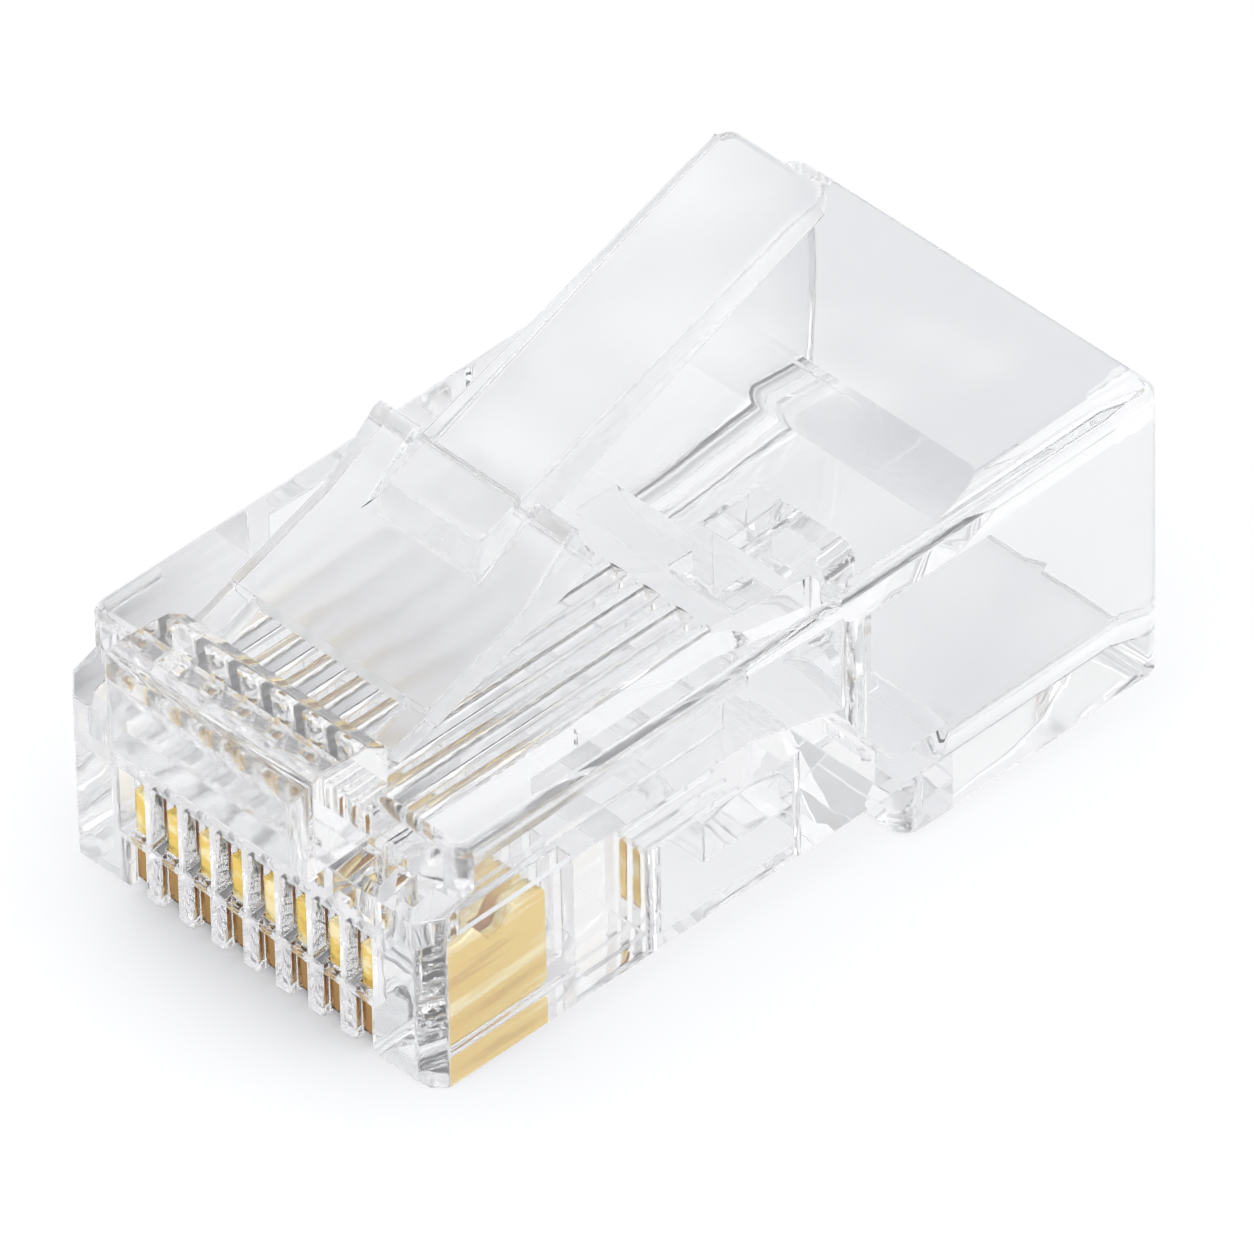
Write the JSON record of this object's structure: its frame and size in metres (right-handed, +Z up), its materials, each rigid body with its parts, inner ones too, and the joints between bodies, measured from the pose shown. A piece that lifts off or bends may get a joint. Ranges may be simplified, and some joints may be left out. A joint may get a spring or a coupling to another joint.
{
  "type": "modular plug",
  "caption": "Clear modular plug for network cable, with a sprung latch, gold-plated contact blades in a comb at its nose and an open hood for the cable",
  "frame": {"origin": "middle of the box's underside, level with the underside of the cable hood", "axes": "+X across the plug, +Y from the nose to the cable end, +Z up to the latch side"},
  "size_m": [0.0116, 0.0238, 0.0151],
  "materials": {
    "clear_plastic": "clear polished",
    "gold_plate": "polished"
  },
  "bodies": {
    "plug_body": {"housing": "clear_plastic", "contact_1": "gold_plate", "contact_2": "gold_plate", "contact_3": "gold_plate", "contact_4": "gold_plate", "contact_5": "gold_plate", "contact_6": "gold_plate", "contact_7": "gold_plate", "contact_8": "gold_plate"},
    "latch": {"latch": "clear_plastic"}
  },
  "joints": [
    {"name": "latch_flex", "type": "hinge", "parent": "plug_body", "child": "latch", "pos_m": [0, -0.00895, 0.0089], "axis": [-1, 0, 0], "range_deg": [0, 20], "stiffness_Nm_per_rad": 0.12}
  ]
}
